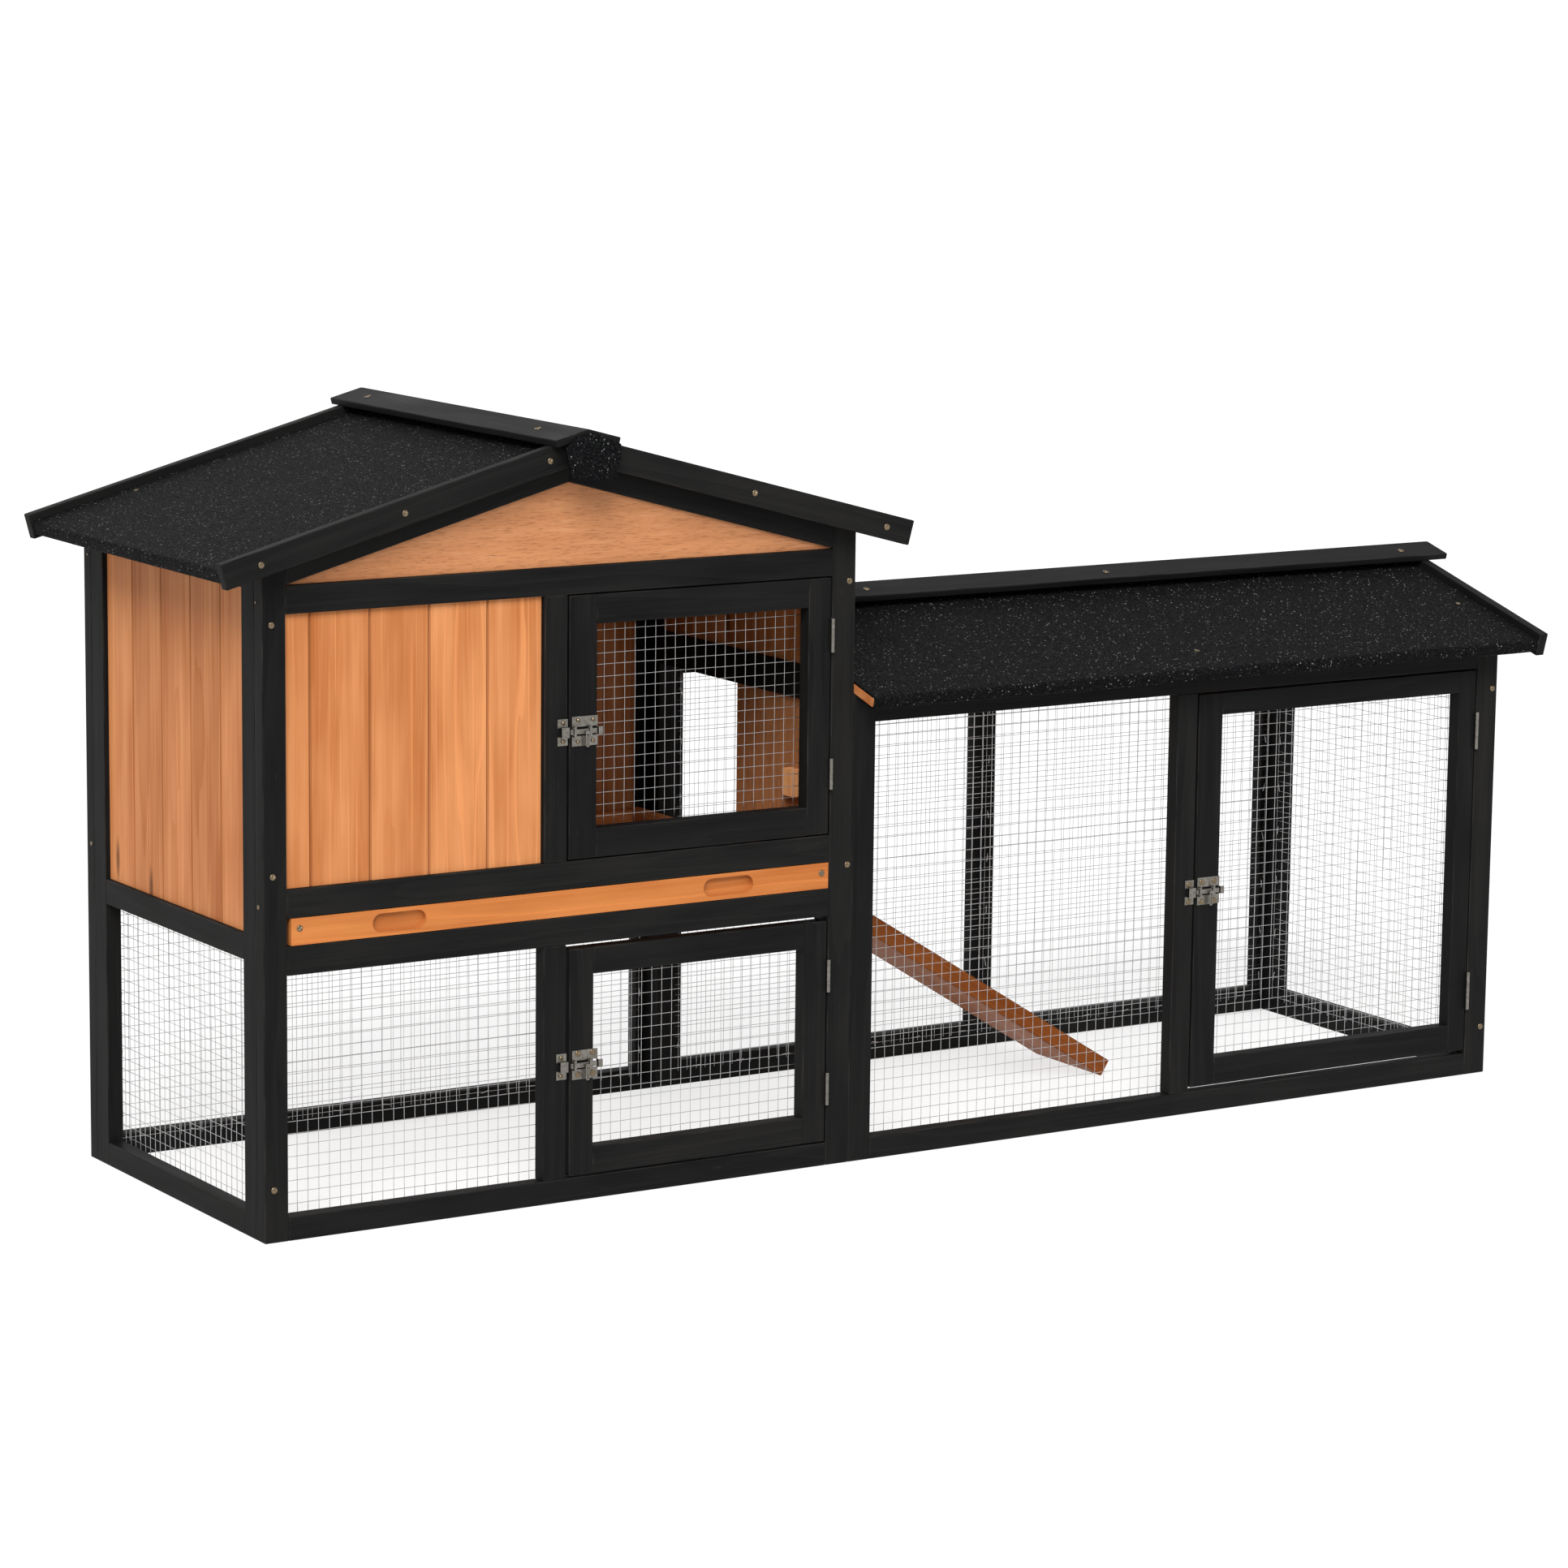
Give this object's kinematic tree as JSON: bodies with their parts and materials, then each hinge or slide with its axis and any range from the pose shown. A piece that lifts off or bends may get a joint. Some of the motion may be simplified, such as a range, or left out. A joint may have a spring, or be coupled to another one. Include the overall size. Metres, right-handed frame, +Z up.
{
  "type": "rabbit hutch",
  "caption": "Two-storey timber rabbit hutch with a gabled felt roof, pull-out tray, ramp and a low mesh run beside it with its own roof and framed mesh doors.",
  "frame": {"origin": "middle of the base, on the ground", "axes": "+X to the right along the front towards the run's free end, +Y to the back, +Z up"},
  "size_m": [1.8394, 0.547, 0.8782],
  "materials": {
    "black_wood": "dark water-based stain on planed fir, satin",
    "orange_wood": "golden stained fir planks, satin",
    "plywood": "golden stained plywood, satin",
    "felt": "mineral-surfaced roofing felt, matte grit",
    "zinc": "zinc-plated pressed steel",
    "screw": "yellow zinc-plated screw heads",
    "wire": "galvanised welded wire mesh"
  },
  "bodies": {
    "frame": {"house_front_posts": "black_wood", "house_front_rails": "black_wood", "house_front_mullions": "black_wood", "house_gable_rafters": "black_wood", "house_left_frame": "black_wood", "house_right_frame": "black_wood", "house_back_frame": "black_wood", "house_barge_boards": "black_wood", "house_ridge_cap": "black_wood", "run_front_frame": "black_wood", "run_back_frame": "black_wood", "run_end_frame": "black_wood", "run_barge_boards": "black_wood", "run_ridge_cap": "black_wood", "front_plank_wall": "orange_wood", "left_plank_wall": "orange_wood", "back_plank_wall": "orange_wood", "right_plank_wall": "orange_wood", "tray_runners": "orange_wood", "house_roof_boards": "orange_wood", "run_roof_boards": "orange_wood", "house_gable_panels": "plywood", "run_gable_panel": "plywood", "ramp_wall_panel": "plywood", "house_roof_felt": "felt", "ridge_end_flap": "felt", "run_roof_felt": "felt", "house_mesh_panels": "wire", "run_mesh_panels": "wire", "latch_keepers": "zinc", "hinge_frame_leaves": "zinc", "hinge_pins": "zinc", "frame_screws": "screw", "roof_screws": "screw"},
    "tray": {"tray_front": "orange_wood", "tray_battens": "orange_wood", "tray_base": "plywood", "tray_screws": "screw"},
    "ramp": {"ramp_board": "orange_wood", "ramp_side_rails": "orange_wood", "ramp_cleats": "orange_wood", "ramp_hinge_leaves": "zinc"},
    "ramp_door": {"ramp_door_panel": "plywood", "ramp_door_pull": "orange_wood"},
    "upper_door": {"upper_door_frame": "black_wood", "upper_door_mesh": "wire", "upper_door_hinge_leaves": "zinc", "upper_latch_plate": "zinc"},
    "upper_bolt": {"upper_latch_bolt": "zinc"},
    "lower_door": {"lower_door_frame": "black_wood", "lower_door_mesh": "wire", "lower_door_hinge_leaves": "zinc", "lower_latch_plate": "zinc"},
    "lower_bolt": {"lower_latch_bolt": "zinc"},
    "run_door": {"run_door_frame": "black_wood", "run_door_mesh": "wire", "run_door_hinge_leaves": "zinc", "run_latch_plate": "zinc"},
    "run_bolt": {"run_latch_bolt": "zinc"}
  },
  "joints": [
    {"name": "upper_door_hinge", "type": "hinge", "parent": "frame", "child": "upper_door", "pos_m": [-0.1363, -0.2309, 0.537], "axis": [0, 0, 1], "range_deg": [0, 120]},
    {"name": "lower_door_hinge", "type": "hinge", "parent": "frame", "child": "lower_door", "pos_m": [-0.1363, -0.2309, 0.157], "axis": [0, 0, 1], "range_deg": [0, 170]},
    {"name": "run_door_hinge", "type": "hinge", "parent": "frame", "child": "run_door", "pos_m": [0.8187, -0.2309, 0.275], "axis": [0, 0, 1], "range_deg": [0, 170]},
    {"name": "upper_bolt_slide", "type": "slide", "parent": "upper_door", "child": "upper_bolt", "axis": [-1, 0, 0], "range_m": [0, 0.0105]},
    {"name": "lower_bolt_slide", "type": "slide", "parent": "lower_door", "child": "lower_bolt", "axis": [-1, 0, 0], "range_m": [0, 0.0105]},
    {"name": "run_bolt_slide", "type": "slide", "parent": "run_door", "child": "run_bolt", "axis": [-1, 0, 0], "range_m": [0, 0.0105]},
    {"name": "tray_slide", "type": "slide", "parent": "frame", "child": "tray", "axis": [0, -1, 0], "range_m": [0, 0.38]},
    {"name": "ramp_hinge", "type": "hinge", "parent": "frame", "child": "ramp", "pos_m": [-0.1019, 0.061, 0.3432], "axis": [0, -1, 0], "range_deg": [0, 44]},
    {"name": "ramp_door_slide", "type": "slide", "parent": "frame", "child": "ramp_door", "axis": [0, 1, 0], "range_m": [0, 0.164]}
  ]
}
